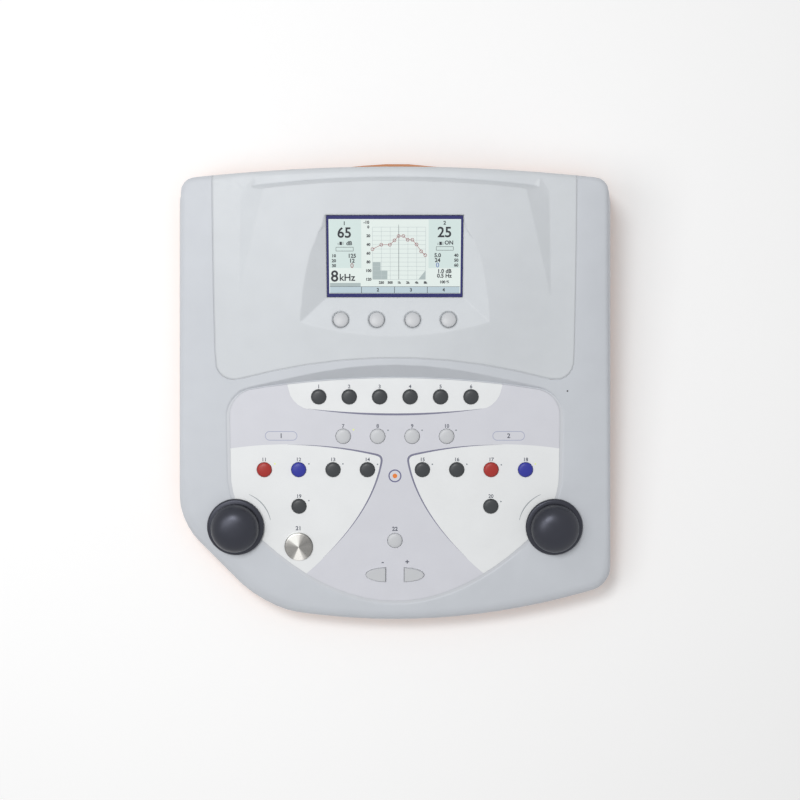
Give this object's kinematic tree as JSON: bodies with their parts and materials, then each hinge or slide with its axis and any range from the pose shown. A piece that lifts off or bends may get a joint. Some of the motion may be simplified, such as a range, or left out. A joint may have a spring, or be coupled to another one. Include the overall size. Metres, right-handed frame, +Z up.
{
  "type": "desktop audiometer",
  "caption": "Wedge-shaped desktop hearing tester with a colour display, two turning dials and rows of push keys on a sloping panel.",
  "frame": {"origin": "middle of the underside, on the surface that it stands on", "axes": "+Z up, +Y towards the back where the sockets are, +X to the user's right"},
  "size_m": [0.322, 0.34, 0.0795],
  "materials": {
    "case_grey": "fine matt texture",
    "cover_grey": "smooth satin",
    "case_orange": "fine matt texture",
    "face_lavender": "printed satin sheet",
    "inlay_white": "printed satin sheet",
    "key_black": "satin",
    "key_grey": "satin",
    "key_red": "satin",
    "key_blue": "satin",
    "button_steel": "brushed",
    "dial_black": "satin",
    "window_navy": "polished",
    "module_metal": "plain",
    "board_green": "solder mask",
    "socket_black": "satin",
    "foot_rubber": "matt",
    "screw_steel": "plain"
  },
  "bodies": {
    "case": {"top_shell": "case_grey", "rear_cover": "cover_grey", "bottom_shell": "case_orange", "control_face": "face_lavender", "key_strip_inlay": "inlay_white", "stimulus_inlay": "inlay_white", "masking_inlay": "inlay_white", "display_window": "window_navy", "display_module": "module_metal", "softkey_board": "board_green", "keypad_board": "board_green", "main_board": "board_green", "left_encoder": "module_metal", "right_encoder": "module_metal", "foot_1": "foot_rubber", "foot_2": "foot_rubber", "foot_3": "foot_rubber", "foot_4": "foot_rubber", "case_screw_1": "screw_steel", "case_screw_2": "screw_steel", "case_screw_3": "screw_steel", "case_screw_4": "screw_steel", "connector_panel": "socket_black", "dc_inlet": "socket_black", "usb_port": "module_metal", "phones_jack_1": "socket_black", "phones_jack_2": "socket_black"},
    "left_dial_body": {"left_dial": "dial_black", "left_dial_shaft": "screw_steel"},
    "right_dial_body": {"right_dial": "dial_black", "right_dial_shaft": "screw_steel"},
    "power_switch_body": {"power_switch": "socket_black"},
    "interrupter_button_body": {"interrupter_button": "button_steel"},
    "frequency_down_key_body": {"frequency_down_key": "key_grey"},
    "frequency_up_key_body": {"frequency_up_key": "key_grey"},
    "softkey_1_body": {"softkey_1": "key_grey"},
    "softkey_2_body": {"softkey_2": "key_grey"},
    "softkey_3_body": {"softkey_3": "key_grey"},
    "softkey_4_body": {"softkey_4": "key_grey"},
    "function_key_1_body": {"function_key_1": "key_black"},
    "function_key_2_body": {"function_key_2": "key_black"},
    "function_key_3_body": {"function_key_3": "key_black"},
    "function_key_4_body": {"function_key_4": "key_black"},
    "function_key_5_body": {"function_key_5": "key_black"},
    "function_key_6_body": {"function_key_6": "key_black"},
    "mode_key_1_body": {"mode_key_1": "key_grey"},
    "mode_key_2_body": {"mode_key_2": "key_grey"},
    "mode_key_3_body": {"mode_key_3": "key_grey"},
    "mode_key_4_body": {"mode_key_4": "key_grey"},
    "stimulus_key_1_body": {"stimulus_key_1": "key_black"},
    "masking_key_1_body": {"masking_key_1": "key_black"},
    "stimulus_key_2_body": {"stimulus_key_2": "key_black"},
    "masking_key_2_body": {"masking_key_2": "key_black"},
    "stimulus_key_3_body": {"stimulus_key_3": "key_blue"},
    "masking_key_3_body": {"masking_key_3": "key_red"},
    "stimulus_key_4_body": {"stimulus_key_4": "key_red"},
    "masking_key_4_body": {"masking_key_4": "key_blue"},
    "hook_key_body": {"hook_key": "key_black"},
    "enable_key_body": {"enable_key": "key_black"},
    "store_key_body": {"store_key": "key_grey"}
  },
  "joints": [
    {"name": "left_dial_turn", "type": "hinge", "parent": "case", "child": "left_dial_body", "pos_m": [-0.1163, -0.09877, 0.03787], "axis": [0, -0.129, 0.9916], "continuous": true},
    {"name": "right_dial_turn", "type": "hinge", "parent": "case", "child": "right_dial_body", "pos_m": [0.1163, -0.09877, 0.03787], "axis": [0, -0.129, 0.9916], "continuous": true},
    {"name": "power_switch_rock", "type": "hinge", "parent": "case", "child": "power_switch_body", "pos_m": [0.06004, 0.1583, 0.0276], "axis": [0, 0, 1], "range_deg": [-16, 0]},
    {"name": "interrupter_button_press", "type": "slide", "parent": "case", "child": "interrupter_button_body", "axis": [0, 0.129, -0.9916], "range_m": [0, 0.0012], "stiffness_N_per_m": 1500, "springref_m": -0.0004},
    {"name": "frequency_down_key_press", "type": "slide", "parent": "case", "child": "frequency_down_key_body", "axis": [0, 0.129, -0.9916], "range_m": [0, 0.0012], "stiffness_N_per_m": 1200, "springref_m": -0.0004},
    {"name": "frequency_up_key_press", "type": "slide", "parent": "case", "child": "frequency_up_key_body", "axis": [0, 0.129, -0.9916], "range_m": [0, 0.0012], "stiffness_N_per_m": 1200, "springref_m": -0.0004},
    {"name": "softkey_1_press", "type": "slide", "parent": "case", "child": "softkey_1_body", "axis": [0, -0.1723, -0.9851], "range_m": [0, 0.0012], "stiffness_N_per_m": 1200, "springref_m": -0.0004},
    {"name": "softkey_2_press", "type": "slide", "parent": "case", "child": "softkey_2_body", "axis": [0, -0.1553, -0.9879], "range_m": [0, 0.0012], "stiffness_N_per_m": 1200, "springref_m": -0.0004},
    {"name": "softkey_3_press", "type": "slide", "parent": "case", "child": "softkey_3_body", "axis": [0, -0.1553, -0.9879], "range_m": [0, 0.0012], "stiffness_N_per_m": 1200, "springref_m": -0.0004},
    {"name": "softkey_4_press", "type": "slide", "parent": "case", "child": "softkey_4_body", "axis": [0, -0.1723, -0.9851], "range_m": [0, 0.0012], "stiffness_N_per_m": 1200, "springref_m": -0.0004},
    {"name": "function_key_1_press", "type": "slide", "parent": "case", "child": "function_key_1_body", "axis": [0, 0.129, -0.9916], "range_m": [0, 0.0012], "stiffness_N_per_m": 1200, "springref_m": -0.0004},
    {"name": "function_key_2_press", "type": "slide", "parent": "case", "child": "function_key_2_body", "axis": [0, 0.129, -0.9916], "range_m": [0, 0.0012], "stiffness_N_per_m": 1200, "springref_m": -0.0004},
    {"name": "function_key_3_press", "type": "slide", "parent": "case", "child": "function_key_3_body", "axis": [0, 0.129, -0.9916], "range_m": [0, 0.0012], "stiffness_N_per_m": 1200, "springref_m": -0.0004},
    {"name": "function_key_4_press", "type": "slide", "parent": "case", "child": "function_key_4_body", "axis": [0, 0.129, -0.9916], "range_m": [0, 0.0012], "stiffness_N_per_m": 1200, "springref_m": -0.0004},
    {"name": "function_key_5_press", "type": "slide", "parent": "case", "child": "function_key_5_body", "axis": [0, 0.129, -0.9916], "range_m": [0, 0.0012], "stiffness_N_per_m": 1200, "springref_m": -0.0004},
    {"name": "function_key_6_press", "type": "slide", "parent": "case", "child": "function_key_6_body", "axis": [0, 0.129, -0.9916], "range_m": [0, 0.0012], "stiffness_N_per_m": 1200, "springref_m": -0.0004},
    {"name": "mode_key_1_press", "type": "slide", "parent": "case", "child": "mode_key_1_body", "axis": [0, 0.129, -0.9916], "range_m": [0, 0.0012], "stiffness_N_per_m": 1200, "springref_m": -0.0004},
    {"name": "mode_key_2_press", "type": "slide", "parent": "case", "child": "mode_key_2_body", "axis": [0, 0.129, -0.9916], "range_m": [0, 0.0012], "stiffness_N_per_m": 1200, "springref_m": -0.0004},
    {"name": "mode_key_3_press", "type": "slide", "parent": "case", "child": "mode_key_3_body", "axis": [0, 0.129, -0.9916], "range_m": [0, 0.0012], "stiffness_N_per_m": 1200, "springref_m": -0.0004},
    {"name": "mode_key_4_press", "type": "slide", "parent": "case", "child": "mode_key_4_body", "axis": [0, 0.129, -0.9916], "range_m": [0, 0.0012], "stiffness_N_per_m": 1200, "springref_m": -0.0004},
    {"name": "stimulus_key_1_press", "type": "slide", "parent": "case", "child": "stimulus_key_1_body", "axis": [0, 0.129, -0.9916], "range_m": [0, 0.0012], "stiffness_N_per_m": 1200, "springref_m": -0.0004},
    {"name": "masking_key_1_press", "type": "slide", "parent": "case", "child": "masking_key_1_body", "axis": [0, 0.129, -0.9916], "range_m": [0, 0.0012], "stiffness_N_per_m": 1200, "springref_m": -0.0004},
    {"name": "stimulus_key_2_press", "type": "slide", "parent": "case", "child": "stimulus_key_2_body", "axis": [0, 0.129, -0.9916], "range_m": [0, 0.0012], "stiffness_N_per_m": 1200, "springref_m": -0.0004},
    {"name": "masking_key_2_press", "type": "slide", "parent": "case", "child": "masking_key_2_body", "axis": [0, 0.129, -0.9916], "range_m": [0, 0.0012], "stiffness_N_per_m": 1200, "springref_m": -0.0004},
    {"name": "stimulus_key_3_press", "type": "slide", "parent": "case", "child": "stimulus_key_3_body", "axis": [0, 0.129, -0.9916], "range_m": [0, 0.0012], "stiffness_N_per_m": 1200, "springref_m": -0.0004},
    {"name": "masking_key_3_press", "type": "slide", "parent": "case", "child": "masking_key_3_body", "axis": [0, 0.129, -0.9916], "range_m": [0, 0.0012], "stiffness_N_per_m": 1200, "springref_m": -0.0004},
    {"name": "stimulus_key_4_press", "type": "slide", "parent": "case", "child": "stimulus_key_4_body", "axis": [0, 0.129, -0.9916], "range_m": [0, 0.0012], "stiffness_N_per_m": 1200, "springref_m": -0.0004},
    {"name": "masking_key_4_press", "type": "slide", "parent": "case", "child": "masking_key_4_body", "axis": [0, 0.129, -0.9916], "range_m": [0, 0.0012], "stiffness_N_per_m": 1200, "springref_m": -0.0004},
    {"name": "hook_key_press", "type": "slide", "parent": "case", "child": "hook_key_body", "axis": [0, 0.129, -0.9916], "range_m": [0, 0.0012], "stiffness_N_per_m": 1200, "springref_m": -0.0004},
    {"name": "enable_key_press", "type": "slide", "parent": "case", "child": "enable_key_body", "axis": [0, 0.129, -0.9916], "range_m": [0, 0.0012], "stiffness_N_per_m": 1200, "springref_m": -0.0004},
    {"name": "store_key_press", "type": "slide", "parent": "case", "child": "store_key_body", "axis": [0, 0.129, -0.9916], "range_m": [0, 0.0012], "stiffness_N_per_m": 1200, "springref_m": -0.0004}
  ]
}
